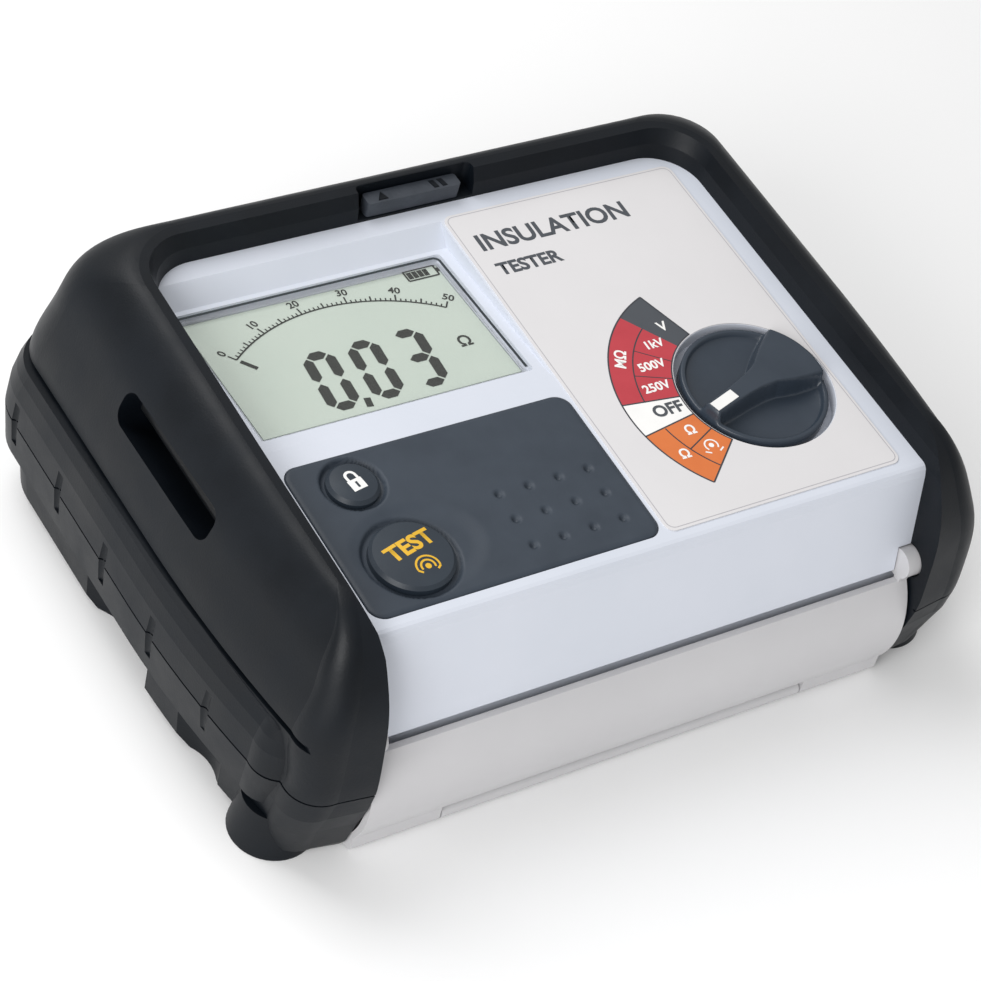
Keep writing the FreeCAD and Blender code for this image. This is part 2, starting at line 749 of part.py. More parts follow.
def make_knob():
    body = new_body("selector_knob", knob_placement())
    radius = size("knob_radius")
    profile = new_sketch(body, "profile", "XZ_Plane")
    floor = 0.2 - size("knob_recess_depth")
    draw_loop(profile, [(0, floor), (radius - 0.4, floor), (radius, floor + 0.4), (radius, -0.2),
                        (radius - 0.4, 0.2), (radius - 1.1, 0.2), (radius - 1.7, -1.0),
                        cap_arc(radius - 1.7, -1.0, -2.4)])
    turn = body.newObject("PartDesign::Revolution", "selector_knob_turn")
    turn.Profile = profile
    turn.ReferenceAxis = (profile, ["V_Axis"])
    turn.Angle = 360.0
    sunk = 3.0
    grip = new_sketch(body, "grip", offset=lift(-sunk))
    draw_loop(grip, [(-18.1, -2.6, -18.4, 0), (15.6, -9.4, -1.0, -3.3), (15.6, 9.4, 18.2, 0),
                     (-18.1, 2.6, -1.0, 3.3)])
    pad(body, grip, size("knob_top") + sunk, ref("knob_top") + " + 3")
    bore = new_sketch(body, "bore", offset=lift(floor))
    draw_circle(bore, 0, 0, size("shaft_radius"), radius_ref=ref("shaft_radius"))
    pocket(body, bore, 4.0, up=True)
    mark = new_sketch(body, "mark", offset=lift(size("knob_top")))
    draw_box(mark, -17.4, -1.4, -9.6, 1.4)
    pocket(body, mark, 0.5)


def make_knob_mark():
    """The white insert that points at the chosen range."""
    body = new_body("knob_mark", knob_placement())
    sketch = new_sketch(body, "mark", offset=lift(size("knob_top") - 0.5))
    draw_box(sketch, -17.4, -1.4, -9.6, 1.4)
    pad(body, sketch, 0.55)


def make_selector_drive():
    shaft = add_cylinder("selector_shaft", size("shaft_radius"), 15.2,
                         (size("knob_across"), size("knob_along"), -15.2), radius_ref=ref("shaft_radius"))
    shaft.Label = "selector_shaft"
    sub_parts.append(shaft)
    place = (size("knob_across"), size("knob_along"), -16.1)
    wafer = add_cylinder("switch_can", 15.0, 8.9, place)
    bore = add_cylinder("switch_bore", size("shaft_radius") + size("shaft_clearance"), 12.0,
                        (place[0], place[1], place[2] - 1.5))
    sub_parts.append(add_cut("rotary_switch", wafer, bore))


# ---------------------------------------------------------------- electronics

def make_main_board():
    board = add_box("main_board", (124.0, 86.0, 1.6), (-62.0, 12.0, -17.8))
    board.Label = "main_board"
    sub_parts.append(board)
    top = -16.2
    core = add_box("transformer_core", (26, 20, 12), (8, 74, top))
    coil = add_box("transformer_coil", (18, 26, 10), (12, 71, top))
    sub_parts.append(add_fused("inverter_transformer", [core, coil]))
    add_group("range_relays", [add_box("relay%d" % n, (20, 10, 11), (40, 66 + 13 * n, top)) for n in range(3)])
    add_group("board_capacitors", [add_cylinder("capacitor%d" % n, 4.0, 10.5, (-52 + 11 * n, 40, -17.8 - 10.5))
                                   for n in range(5)])
    sounder = add_cylinder("sounder", 11.0, 8.0, (17.0, 38.0, top))
    sounder.Label = "sounder"
    sub_parts.append(sounder)


def make_fuse():
    fuse_axis = (-14.0, 64.0, -17.8 - 6.5)
    fuse = add_cylinder("fuse", 3.15, 32.0, fuse_axis, (1, 0, 0))
    fuse.Label = "fuse"
    sub_parts.append(fuse)
    clips = []
    for number, across in enumerate((fuse_axis[0] + 1.0, fuse_axis[0] + 25.0)):
        block = add_box("clip%d" % number, (6, 9, 6.9), (across, fuse_axis[1] - 4.5, -17.8 - 6.9))
        gap = add_cylinder("clip_gap%d" % number, 3.15, 10.0, (across - 2, fuse_axis[1], fuse_axis[2]), (1, 0, 0))
        clips.append(add_cut("fuse_clip%d" % number, block, gap))
    add_group("fuse_clips", clips)


# ---------------------------------------------------------------- batteries

def make_batteries():
    pitch = size("cell_pitch")
    first = -2.5 * pitch
    cells = []
    for number in range(6):
        across = first + pitch * number
        flip = 1 if number % 2 else -1
        can = add_cylinder("cell_can%d" % number, size("cell_radius"), size("cell_length"),
                           (across, -30.0, size("cell_height")), (0, 1, 0), BASE, ref("cell_radius"))
        tip = -30.0 + size("cell_length") if flip > 0 else -31.2
        nub = add_cylinder("cell_tip%d" % number, 2.7, 1.2, (across, tip, size("cell_height")), (0, 1, 0), BASE)
        cells.append(add_fused("cell%d" % number, [can, nub]))
    add_group("battery_cells", cells)
    shell = add_box("holder_shell", (95.0, 61.0, 17.4), (-47.5, -35.5, 6.2), BASE)
    room = add_box("holder_room", (91.0, 57.0, 30.0), (-45.5, -33.5, -8.3), BASE)
    sub_parts.append(add_cut("battery_holder", shell, room))
    plates = []
    for number in range(3):
        across = first + pitch * (2 * number)
        plates.append(add_box("rear_contact%d" % number, (21.0, 0.4, 9.0), (across - 3, 23.0, 10.0), BASE))
        plates.append(add_box("front_contact%d" % number, (21.0, 0.4, 9.0), (across - 3, -33.4, 10.0), BASE))
    add_group("battery_contacts", plates)


def make_battery_cover():
    body = new_body("battery_cover")
    sketch = new_sketch(body, "plate", offset=lift(size("case_bottom")))
    draw_box(sketch, -47.8, -35.8, 47.8, 27.8, 3.0)
    pad(body, sketch, 2.4)
    finger = new_sketch(body, "finger", offset=lift(size("case_bottom")))
    draw_box(finger, -12.0, -30.0, 12.0, -24.0, 2.5)
    pocket(body, finger, 1.0, up=True)
    hole = new_sketch(body, "hole", offset=lift(size("case_bottom")))
    draw_circle(hole, 0.0, 22.0, 1.6)
    pocket(body, hole, 6.0, up=True)
    sink = new_sketch(body, "sink", offset=lift(size("case_bottom")))
    draw_circle(sink, 0.0, 22.0, 2.8)
    pocket(body, sink, 1.2, up=True)


def make_screws():
    """The four long case screws and the short one in the battery cover."""
    screws = []
    for number, (x, y) in enumerate(screw_places()):
        low = size("case_bottom") + 0.2
        head = add_cylinder("screw_head%d" % number, size("screw_head_radius"), 2.1, (x, y, low), placement=BASE,
                            radius_ref=ref("screw_head_radius"))
        shank = add_cylinder("screw_shank%d" % number, size("screw_radius"), 33.0, (x, y, low), placement=BASE,
                             radius_ref=ref("screw_radius"))
        drive = add_cylinder("screw_drive%d" % number, 1.2, 1.2, (x, y, low), placement=BASE)
        screws.append(add_cut("case_screw%d" % number, add_fused("screw%d" % number, [head, shank]), drive))
    add_group("case_screws", screws)
    low = size("case_bottom") + 0.1
    head = add_cylinder("cover_head", 2.7, 1.0, (0, 22, low), placement=BASE)
    shank = add_cylinder("cover_shank", 1.5, 2.3, (0, 22, low), placement=BASE)
    drive = add_cylinder("cover_drive", 1.0, 0.7, (0, 22, low), placement=BASE)
    sub_parts.append(add_cut("battery_cover_screw", add_fused("cover_screw_blank", [head, shank]), drive))


# ---------------------------------------------------------------- sockets

def make_sockets():
    """Two shrouded 4 mm sockets that open to the back, each with a brass tube in it."""
    back = 62.5
    depth = 22.0
    contacts = []
    for name, side in (("socket_red", 1), ("socket_black", -1)):
        x = side * size("socket_across")
        z = size("socket_height")
        barrel = add_cylinder(name + "_barrel", size("socket_radius"), depth, (x, back - depth, z), (0, 1, 0), BASE,
                              ref("socket_radius"))
        well = add_cylinder(name + "_well", size("socket_well_radius"), depth, (x, back - depth + 2.0, z),
                            (0, 1, 0), BASE, ref("socket_well_radius"))
        sub_parts.append(add_cut(name, barrel, well))
        tube = add_cylinder(name + "_tube", size("contact_radius"), size("contact_length"),
                            (x, back - depth + 2.0, z), (0, 1, 0), BASE, ref("contact_radius"))
        bore = add_cylinder(name + "_bore", size("contact_bore"), size("contact_length"),
                            (x, back - depth + 4.0, z), (0, 1, 0), BASE, ref("contact_bore"))
        contacts.append(add_cut(name + "_contact", tube, bore))
    add_group("socket_contacts", contacts)
    board = add_box("socket_board", (56.0, 1.6, 15.0), (-28.0, back - depth - 1.6, size("socket_height") - 8.0), BASE)
    board.Label = "socket_board"
    sub_parts.append(board)


# ---------------------------------------------------------------- label and catch

def make_label_overlay():
    body = new_body("label_overlay", panel_placement)
    sketch = new_sketch(body, "sheet")
    draw_box(sketch, 3.2, 4.2, 71.7, 111.6, 2.5)
    pad(body, sketch, 0.3)
    hole = new_sketch(body, "hole", offset=lift(2))
    draw_circle(hole, size("knob_across"), size("knob_along"), size("knob_recess_radius") + 0.15)
    pocket(body, hole, 5.0)


def make_rear_catch():
    """The ribbed grey tab behind the panel that the closed lid snaps over."""
    body = new_body("rear_catch", panel_placement)
    sketch = new_sketch(body, "block", offset=lift(0.7))
    draw_box(sketch, -15.5, 116.8, 11.0, 120.8, 0.8)
    pad(body, sketch, 4.3)


def make_strap_bars():
    bars = [add_cylinder("strap_bar%d" % (side + 1), size("bar_radius"), size("bar_length"),
                         (side * size("bar_across"), size("bar_along") - size("bar_length") / 2, size("bar_height")),
                         (0, 1, 0), BASE, ref("bar_radius")) for side in (-1, 1)]
    add_group("strap_bars", bars)


# ---------------------------------------------------------------- lid

def make_lid_front():
    """The curved front strip: the first link of the folding lid."""
    body = new_body("lid_front")
    half = size("lid_half_width")
    y, z = size("lid_axis_along"), size("lid_axis_height")
    by, bz = size("cover_axis_along"), size("cover_axis_height")
    strip = new_sketch(body, "strip", "YZ_Plane")
    draw_loop(strip, [(-69.0, 33.0), (-70.8, 6.0, -73.9, 19.4), (-69.2, 6.0), (-67.4, 33.0, -72.2, 19.4)])
    pad(body, strip, 2 * half, both_ways=True)
    for side in (-1, 1):
        boss = new_sketch(body, "boss%d" % (side + 1), "YZ_Plane", lift(side * (size("panel_half_width") - 3.4)))
        draw_circle(boss, y, z, size("lid_boss_radius"), radius_ref=ref("lid_boss_radius"))
        pad(body, boss, 10.2, down=side < 0)
        arm = new_sketch(body, "arm%d" % (side + 1), "YZ_Plane", lift(side * (size("panel_half_width") - 3.4)))
        draw_loop(arm, [(-69.1, 32.0), (-67.6, 32.0), (-66.6, 35.0), (-69.4, 35.0)])
        pad(body, arm, half - size("panel_half_width") + 3.4, down=side < 0)
        hinge = new_sketch(body, "knuckle%d" % (side + 1), "YZ_Plane", lift(side * 52.5))
        draw_circle(hinge, by, bz, size("cover_knuckle_radius"), radius_ref=ref("cover_knuckle_radius"))
        pad(body, hinge, half - 52.5, down=side < 0)
        web = new_sketch(body, "web%d" % (side + 1), "YZ_Plane", lift(side * 52.5))
        draw_loop(web, [(-70.7, 6.6), (by - 2.05, bz + 0.2), (by - 0.2, bz + 2.0), (-69.2, 6.6)])
        pad(body, web, half - 52.5, down=side < 0)
        pin = new_sketch(body, "pin%d" % (side + 1), "YZ_Plane", lift(side * (size("panel_half_width") - 2.6)))
        draw_circle(pin, y, z, size("lid_pin_radius") + size("pin_clearance"))
        pocket(body, pin, 12.0, up=side > 0)
    rod = new_sketch(body, "rod", "YZ_Plane")
    draw_circle(rod, by, bz, size("cover_pin_radius") + size("pin_clearance"))
    pocket(body, rod, 150.4, both_ways=True)


def make_lid_cover():
    """The flat plate of the lid, with round back corners, its long knuckle and its snap tongue."""
    body = new_body("lid_cover")
    half = size("lid_half_width")
    by, bz = size("cover_axis_along"), size("cover_axis_height")
    low = 0.6
    front = by + 2.6
    back = by + size("cover_length")
    corner = 13.5
    arc = corner * (1 - math.sqrt(0.5))
    plate = new_sketch(body, "plate", offset=lift(low))
    draw_loop(plate, [(-half, front), (half, front), (half, back - corner),
                      (half - corner, back, half - arc, back - arc), (9, back), (8, back + 3.0), (-8, back + 3.0),
                      (-9, back), (-half + corner, back), (-half, back - corner, -half + arc, back - arc)])
    pad(body, plate, size("cover_thickness"), ref("cover_thickness"))
    knuckle = new_sketch(body, "knuckle", "YZ_Plane")
    draw_circle(knuckle, by, bz, size("cover_knuckle_radius"), radius_ref=ref("cover_knuckle_radius"))
    pad(body, knuckle, 104.0, both_ways=True)
    web = new_sketch(body, "web", "YZ_Plane")
    draw_loop(web, [(by + 0.3, low), (front + 1.0, low), (front + 1.0, low + 1.8), (by + 0.3, low + 1.8)])
    pad(body, web, 104.0, both_ways=True)
    rod = new_sketch(body, "rod", "YZ_Plane")
    draw_circle(rod, by, bz, size("cover_pin_radius") + size("pin_clearance"))
    pocket(body, rod, 110.0, both_ways=True)


def make_lid_pins():
    pins = [add_cylinder("hinge_pin%d" % (side + 1), size("lid_pin_radius"), 13.0,
                         (side * 74.5, size("lid_axis_along"), size("lid_axis_height")), (side, 0, 0), BASE,
                         ref("lid_pin_radius")) for side in (-1, 1)]
    add_group("lid_hinge_pins", pins)
    rod = add_cylinder("cover_hinge_rod", size("cover_pin_radius"), 150.0,
                       (-75.0, size("cover_axis_along"), size("cover_axis_height")), (1, 0, 0), BASE,
                       ref("cover_pin_radius"))
    rod.Label = "cover_hinge_rod"
    sub_parts.append(rod)


make_upper_armour()
make_lower_armour()
make_upper_case()
make_lower_case()
make_case_gasket()
make_display()
make_keypad_mat()
make_button("lock_button", size("lock_across"), size("lock_along"), size("lock_radius"), 1.0)
make_button("test_button", size("test_across"), size("test_along"), size("test_radius"), 1.4)
make_switches()
make_knob()
make_knob_mark()
make_selector_drive()
make_main_board()
make_fuse()
make_batteries()
make_battery_cover()
make_screws()
make_sockets()
make_label_overlay()
make_rear_catch()
make_strap_bars()
make_lid_front()
make_lid_cover()
make_lid_pins()

doc.recompute()

for thing in doc.Objects:
    if "Invalid" in thing.State or "Error" in thing.State:
        raise RuntimeError(thing.Name + " failed: " + str(thing.State))
for part in sub_parts:
    if part.Shape.isNull() or not part.Shape.isValid():
        raise RuntimeError(part.Label + " has no valid shape")
os.makedirs("parts", exist_ok=True)
for part in sub_parts:
    shape = part.Shape
    print("%-22s %9.0f mm3  solids %d" % (part.Label, shape.Volume, len(shape.Solids)))
    shape.exportStep("parts/" + part.Label + ".step")
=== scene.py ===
# Insulation resistance tester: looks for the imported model.
# Lengths in the dictionaries are millimetres, the scene itself is in metres.
import bpy
import json
import math
from mathutils import Matrix, Vector


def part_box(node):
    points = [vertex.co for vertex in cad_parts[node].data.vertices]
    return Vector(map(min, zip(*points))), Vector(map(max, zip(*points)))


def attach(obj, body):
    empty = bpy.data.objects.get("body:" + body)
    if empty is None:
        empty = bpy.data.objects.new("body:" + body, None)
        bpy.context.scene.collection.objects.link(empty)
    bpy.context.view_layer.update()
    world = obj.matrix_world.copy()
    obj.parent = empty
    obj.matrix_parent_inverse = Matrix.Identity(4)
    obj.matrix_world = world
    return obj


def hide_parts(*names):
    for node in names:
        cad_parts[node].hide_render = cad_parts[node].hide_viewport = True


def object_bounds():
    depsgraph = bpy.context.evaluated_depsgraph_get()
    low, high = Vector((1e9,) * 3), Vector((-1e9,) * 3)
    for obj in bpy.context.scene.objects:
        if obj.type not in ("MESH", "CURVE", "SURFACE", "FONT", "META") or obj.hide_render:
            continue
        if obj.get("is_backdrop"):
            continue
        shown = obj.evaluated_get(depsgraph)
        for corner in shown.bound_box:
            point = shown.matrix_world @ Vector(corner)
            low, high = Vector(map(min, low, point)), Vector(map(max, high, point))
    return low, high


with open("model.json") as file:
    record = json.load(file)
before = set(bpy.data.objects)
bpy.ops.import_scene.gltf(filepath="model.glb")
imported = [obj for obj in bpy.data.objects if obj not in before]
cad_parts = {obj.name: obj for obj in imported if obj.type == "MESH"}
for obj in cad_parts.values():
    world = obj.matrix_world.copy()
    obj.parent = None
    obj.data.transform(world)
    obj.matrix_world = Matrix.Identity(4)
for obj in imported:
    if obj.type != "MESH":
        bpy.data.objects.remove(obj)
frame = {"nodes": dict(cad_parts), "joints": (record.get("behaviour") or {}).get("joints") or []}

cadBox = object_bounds()
mm = 0.001

# ---- the panel's own frame, found from the printed label and the selector's axis ----
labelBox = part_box("label_overlay")
turnAxis = [j for j in frame["joints"] if j["name"] == "selector_turn"][0]
tilt = math.atan2(-turnAxis["axis"][1], turnAxis["axis"][2])
labelEdge = 4.2 * mm    # from the panel's front edge to the label's
labelFilm = 0.3 * mm    # how thick the label is
panelOrigin = Vector((0, labelBox[0].y - labelEdge * math.cos(tilt) + labelFilm * math.sin(tilt),
                      labelBox[0].z - labelEdge * math.sin(tilt)))
panelFrame = Matrix.Translation(panelOrigin) @ Matrix.Rotation(tilt, 4, "X")
displaySlope = {"start": 56.0, "angle": 5.0}   # the window leans back from here
displayFrame = (panelFrame @ Matrix.Translation((0, displaySlope["start"] * mm, 0))
                @ Matrix.Rotation(-math.radians(displaySlope["angle"]), 4, "X"))
knobCentre = panelFrame.inverted() @ Vector(turnAxis["pos_m"])
knobPlace = (knobCentre.x / mm, knobCentre.y / mm)
knobTurn = 17.5         # degrees, where the pointer stands
knobFrame = panelFrame @ Matrix.Translation((knobCentre.x, knobCentre.y, 0)) @ Matrix.Rotation(
    math.radians(knobTurn), 4, "Z")


# ---- small tools ----
def linear(hexColour):
    channels = [int(hexColour[i:i + 2], 16) / 255 for i in (1, 3, 5)]
    return tuple(c / 12.92 if c <= 0.04045 else ((c + 0.055) / 1.055) ** 2.4 for c in channels) + (1.0,)


def addNode(tree, kind, settings=None, links=None):
    node = tree.nodes.new(kind)
    for name, value in (settings or {}).items():
        if name in node.inputs:
            node.inputs[name].default_value = value
        else:
            setattr(node, name, value)
    for name, source in (links or {}).items():
        tree.links.new(source, node.inputs[name])
    return node


def newMaterial(name):
    material = bpy.data.materials.new(name)
    material.use_nodes = True
    tree = material.node_tree
    tree.nodes.clear()
    shader = addNode(tree, "ShaderNodeBsdfPrincipled")
    addNode(tree, "ShaderNodeOutputMaterial", links={"Surface": shader.outputs["BSDF"]})
    return material, tree, shader


# grain, relief and mottle are the sizes of the surface's texture in millimetres
def makeMoulded(name, light, dark, roughness, grain, relief, mottle=30.0, sheen=0.0, specular=0.5, coat=0.0):
    material, tree, shader = newMaterial(name)
    place = addNode(tree, "ShaderNodeTexCoord").outputs["Object"]
    patches = addNode(tree, "ShaderNodeTexNoise", {"Scale": 1 / (mottle * mm), "Detail": 4.0, "Roughness": 0.6},
                      {"Vector": place})
    tint = addNode(tree, "ShaderNodeValToRGB", links={"Fac": patches.outputs["Fac"]})
    tint.color_ramp.elements[0].position = 0.35
    tint.color_ramp.elements[0].color = linear(dark)
    tint.color_ramp.elements[1].position = 0.65
    tint.color_ramp.elements[1].color = linear(light)
    gloss = addNode(tree, "ShaderNodeMapRange",
                    {"From Min": 0.3, "From Max": 0.7, "To Min": roughness[0], "To Max": roughness[1]},
                    {"Value": patches.outputs["Fac"]})
    fine = addNode(tree, "ShaderNodeTexNoise", {"Scale": 1 / (grain * mm), "Detail": 2.0, "Roughness": 0.5},
                   {"Vector": place})
    bump = addNode(tree, "ShaderNodeBump", {"Distance": relief * mm, "Strength": 1.0},
                   {"Height": fine.outputs["Fac"]})
    tree.links.new(tint.outputs["Color"], shader.inputs["Base Color"])
    tree.links.new(gloss.outputs["Result"], shader.inputs["Roughness"])
    tree.links.new(bump.outputs["Normal"], shader.inputs["Normal"])
    shader.inputs["Specular IOR Level"].default_value = specular
    shader.inputs["Sheen Weight"].default_value = sheen
    shader.inputs["Coat Weight"].default_value = coat
    return material


def makeMetal(name, light, dark, roughness, scratch):
    material, tree, shader = newMaterial(name)
    place = addNode(tree, "ShaderNodeTexCoord").outputs["Object"]
    marks = addNode(tree, "ShaderNodeTexNoise", {"Scale": 1 / (scratch * mm), "Detail": 3.0}, {"Vector": place})
    tint = addNode(tree, "ShaderNodeValToRGB", links={"Fac": marks.outputs["Fac"]})
    tint.color_ramp.elements[0].color = linear(dark)
    tint.color_ramp.elements[1].color = linear(light)
    gloss = addNode(tree, "ShaderNodeMapRange", {"To Min": roughness[0], "To Max": roughness[1]},
                    {"Value": marks.outputs["Fac"]})
    tree.links.new(tint.outputs["Color"], shader.inputs["Base Color"])
    tree.links.new(gloss.outputs["Result"], shader.inputs["Roughness"])
    shader.inputs["Metallic"].default_value = 1.0
    return material


# ---- materials: what each real surface is, and what that gives the eye ----
# near black with broad soft highlights, since the moulded grain scatters the light
armourRubber = makeMoulded("overmoulded TPE rubber", "#0A1017", "#070C12", (0.40, 0.54), 0.5, 0.03, 18,
                           specular=0.24)
# cool white with a gentle sheen from a fine spark finish
caseAbs = makeMoulded("moulded white ABS", "#D6DAE4", "#D1D6E0", (0.34, 0.42), 0.35, 0.006, 60)
# mid grey and duller, with a coarser finish that hides scuffs on the underside
lowerAbs = makeMoulded("moulded grey ABS", "#8D9297", "#85898E", (0.45, 0.55), 0.4, 0.02, 50)
# warm light grey, the smoothest of the mouldings, so the curved strip shows long highlights
lidAbs = makeMoulded("moulded light grey ABS", "#CBCACC", "#C6C5C7", (0.30, 0.38), 0.5, 0.006, 60)
# a flat, even, slightly warm white that keeps the printing crisp
labelFilmPrint = makeMoulded("screen printed polyester film", "#DCDADB", "#D9D7D8", (0.38, 0.44), 0.3, 0.003, 40)
# blue grey and matt, faintly mottled by handling
keypadRubber = makeMoulded("moulded silicone rubber", "#343D48", "#2E3742", (0.5, 0.62), 0.35, 0.018, 12)
# darker and a touch glossier than the mat, so the buttons stand out from it
buttonRubber = makeMoulded("moulded silicone button", "#2A343E", "#252E38", (0.42, 0.52), 0.35, 0.012, 12)
# blue grey with tight highlights along the grip's edges
knobNylon = makeMoulded("moulded glass filled nylon", "#333C47", "#2E3742", (0.30, 0.40), 0.3, 0.01, 12)
# a visibly rough grey that gives a thumb some grip
catchNylon = makeMoulded("spark textured nylon", "#3C4149", "#30353D", (0.5, 0.6), 0.8, 0.08, 6)
# plain satin black for small fittings
blackPlastic = makeMoulded("moulded black ABS", "#17191C", "#121416", (0.4, 0.5), 0.4, 0.01, 20)
# deep red and fairly glossy, as on the positive socket
redPlastic = makeMoulded("moulded red nylon", "#B3202A", "#A61C26", (0.3, 0.36), 0.4, 0.006, 20)
# dull black that drinks the light in the seam
sealRubber = makeMoulded("extruded silicone cord", "#1B1B1D", "#161618", (0.55, 0.65), 0.4, 0.01, 10)
# the green grey of an unlit reflective display
lcdFace = makeMoulded("reflective LCD face", "#BFC9BF", "#BCC7BD", (0.42, 0.48), 0.3, 0.002, 25, specular=0.3)
# milky and smooth
lightGuide = makeMoulded("milky acrylic light guide", "#E8EAE6", "#E2E5E0", (0.2, 0.3), 0.5, 0.003, 20)
# green lacquer over a weave, with a thin gloss coat
boardGlass = makeMoulded("solder masked glass epoxy", "#1D5B36", "#184F2E", (0.3, 0.45), 0.6, 0.02, 5, coat=0.3)
# dull charcoal, slightly gritty
ferrite = makeMoulded("sintered ferrite", "#33322F", "#2A2927", (0.6, 0.7), 0.3, 0.02, 5)
# cream and glossy
ceramic = makeMoulded("glazed fuse ceramic", "#E6E0D2", "#DED7C8", (0.15, 0.2), 0.8, 0.004, 10)
# bluish silver with a soft blur in its reflections
steel = makeMetal("zinc plated steel", "#C9CCD0", "#A9ADB2", (0.25, 0.4), 0.8)
# warmer and brighter than the zinc
springSteel = makeMetal("nickel plated spring steel", "#D5D2CB", "#B9B6AF", (0.15, 0.3), 0.6)
# yellow, with fine marks from the lathe
brass = makeMetal("turned brass", "#D8B261", "#C09A4C", (0.2, 0.32), 0.4)
# coppery lacquer in broad patches
cellWrap = makeMetal("lacquered cell wrap", "#8C6A2E", "#4C4034", (0.3, 0.4), 9.0)
# liquid crystal turned dark: no shine of its own
blackInk = makeMoulded("black display segment", "#0A0B0B", "#080909", (0.7, 0.8), 0.3, 0.001, 10, specular=0.05)
# screen inks lie flat and even, a little duller than the film they are printed on
whiteInk = makeMoulded("white screen ink", "#F4F3F1", "#EFEEEC", (0.45, 0.5), 0.3, 0.002, 10)
greyInk = makeMoulded("charcoal screen ink", "#4A4E54", "#464A50", (0.45, 0.5), 0.3, 0.002, 10)
redInk = makeMoulded("red screen ink", "#BC3C46", "#B63842", (0.42, 0.48), 0.3, 0.002, 10)
orangeInk = makeMoulded("orange screen ink", "#DA773C", "#D57238", (0.42, 0.48), 0.3, 0.002, 10)
yellowInk = makeMoulded("yellow screen ink", "#E4B42E", "#DEAE2A", (0.42, 0.48), 0.3, 0.002, 10)
outlineInk = makeMoulded("dark outline ink", "#3A3C42", "#36383E", (0.45, 0.5), 0.3, 0.002, 10)
paleLine = makeMoulded("pale grey outline ink", "#B4B2B6", "#B0AEB2", (0.45, 0.5), 0.3, 0.002, 10)
# a thin dark line painted as the shadow along the window's rear and right edges, where the recess wall meets it
shadowGap = makeMoulded("painted window shadow line", "#2A3338", "#242C31", (0.6, 0.7), 0.4, 0.004, 10)


# almost clear, so the display reads through it and only faint reflections show
def makeWindow():
    material, tree, shader = newMaterial("hard coated acrylic window")
    place = addNode(tree, "ShaderNodeTexCoord").outputs["Object"]
    waves = addNode(tree, "ShaderNodeTexNoise", {"Scale": 1 / (25 * mm), "Detail": 1.0}, {"Vector": place})
    haze = addNode(tree, "ShaderNodeMapRange", {"To Min": 0.05, "To Max": 0.12}, {"Value": waves.outputs["Fac"]})
    tree.links.new(haze.outputs["Result"], shader.inputs["Roughness"])
    shader.inputs["Base Color"].default_value = linear("#EEF2EC")
    shader.inputs["Alpha"].default_value = 0.04
    shader.inputs["IOR"].default_value = 1.49
    return material


clearWindow = makeWindow()
finishes = {
    "upper_armour": armourRubber, "lower_armour": armourRubber, "upper_case": caseAbs, "lower_case": lowerAbs,
    "case_gasket": sealRubber, "display_window": clearWindow, "display_glass": lcdFace,
    "display_light_guide": lightGuide, "keypad_mat": keypadRubber, "lock_button": buttonRubber,
    "test_button": buttonRubber, "keypad_board": boardGlass, "button_switches": blackPlastic,
    "selector_knob": knobNylon, "knob_mark": whiteInk, "selector_shaft": steel, "rotary_switch": blackPlastic,
    "main_board": boardGlass, "inverter_transformer": ferrite, "range_relays": blackPlastic,
    "board_capacitors": blackPlastic, "sounder": blackPlastic, "fuse": ceramic, "fuse_clips": springSteel,
    "battery_cells": cellWrap, "battery_holder": blackPlastic, "battery_contacts": springSteel,
    "battery_cover": lowerAbs, "case_screws": steel, "battery_cover_screw": steel, "socket_red": redPlastic,
    "socket_black": blackPlastic, "socket_contacts": brass, "socket_board": boardGlass,
    "label_overlay": labelFilmPrint, "rear_catch": catchNylon, "strap_bars": blackPlastic, "lid_front": lidAbs,
    "lid_cover": lidAbs, "lid_hinge_pins": steel, "cover_hinge_rod": steel,
}
for node, finish in finishes.items():
    piece = frame["nodes"][node]
    piece.data.materials.clear()
    piece.data.materials.append(finish)
print("materials on", len(finishes), "nodes")


# ---- pieces from points and faces ----
def addPiece(name, points, faces, material, place, body, smooth=False, replaced=()):
    mesh = bpy.data.meshes.new(name)
    mesh.from_pydata([place @ (Vector(p) * mm) for p in points], [], faces)
    mesh.materials.append(material)
    if smooth:
        mesh.shade_smooth()
    mesh.update()
    piece = bpy.data.objects.new(name, mesh)
    bpy.context.scene.collection.objects.link(piece)
    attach(piece, body)
    if replaced:
        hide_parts(*replaced)
    return piece


def addPrint(name, shapes, height, material, place, body="case", surface=None):
    points = []
    faces = []
    for shape in shapes:
        faces.append(list(range(len(points), len(points) + len(shape))))
        points += [(x, y, height + (surface(x, y) if surface else 0.0)) for x, y in shape]
    return addPiece(name, points, faces, material, place, body)


capToSize = 0.73        # height of a capital letter in the built-in typeface, for a size of one


def addWords(name, words, spot, capHeight, material, place, angle=0.0, bold=0.0, height=0.0, body="case",
             align="CENTER", surface=None, narrow=1.0):
    curve = bpy.data.curves.new(name, "FONT")
    curve.body = words
    curve.size = capHeight / capToSize
    curve.align_x = align
    curve.align_y = "CENTER"
    curve.offset = bold
    curve.resolution_u = 4
    writing = bpy.data.objects.new(name, curve)
    mesh = bpy.data.meshes.new_from_object(writing)
    bpy.data.objects.remove(writing)
    turn = math.radians(angle)
    for vertex in mesh.vertices:
        x = vertex.co.x * narrow
        y = vertex.co.y
        u = spot[0] + x * math.cos(turn) - y * math.sin(turn)
        v = spot[1] + x * math.sin(turn) + y * math.cos(turn)
        vertex.co = place @ (Vector((u, v, height + (surface(u, v) if surface else 0.0))) * mm)
    mesh.materials.append(material)
    piece = bpy.data.objects.new(name, mesh)
    bpy.context.scene.collection.objects.link(piece)
    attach(piece, body)
    return piece


